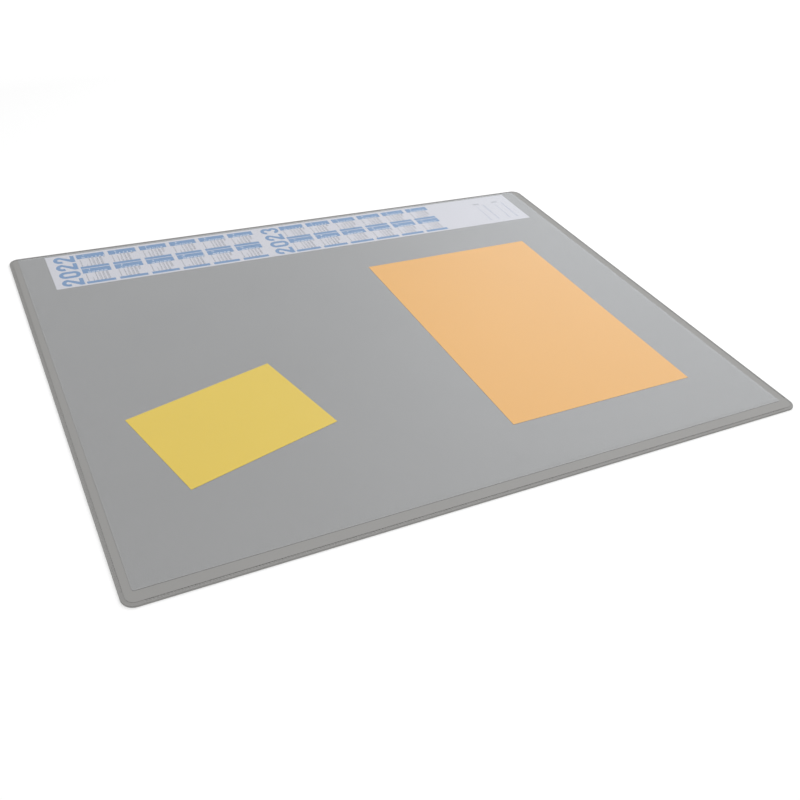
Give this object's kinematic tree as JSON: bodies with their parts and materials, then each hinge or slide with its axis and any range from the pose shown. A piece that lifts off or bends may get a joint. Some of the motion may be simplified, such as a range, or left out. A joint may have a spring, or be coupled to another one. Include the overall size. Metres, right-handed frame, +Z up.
{
  "type": "desk pad calendar",
  "caption": "Grey desk pad with a toothed welded edge, a clear cover film, a two-year calendar strip along the rear and two note sheets under the film.",
  "frame": {"origin": "middle of the mat's underside, on the desk", "axes": "+X along the long side to the right, +Y to the rear edge where the calendar strip is, +Z up"},
  "size_m": [0.65, 0.5, 0.0026],
  "materials": {
    "mat_plastic": "warm grey soft plastic with a fine grain",
    "clear_film": "clear soft plastic film with a satin, low-glare face",
    "calendar_paper": "smooth white paper with blue and grey print",
    "yellow_paper": "uncoated yellow card",
    "orange_paper": "uncoated pale orange card"
  },
  "bodies": {
    "root": {"base_mat": "mat_plastic", "cover_film": "clear_film", "calendar_strip": "calendar_paper", "note_sheet_yellow": "yellow_paper", "note_sheet_orange": "orange_paper"}
  },
  "joints": []
}
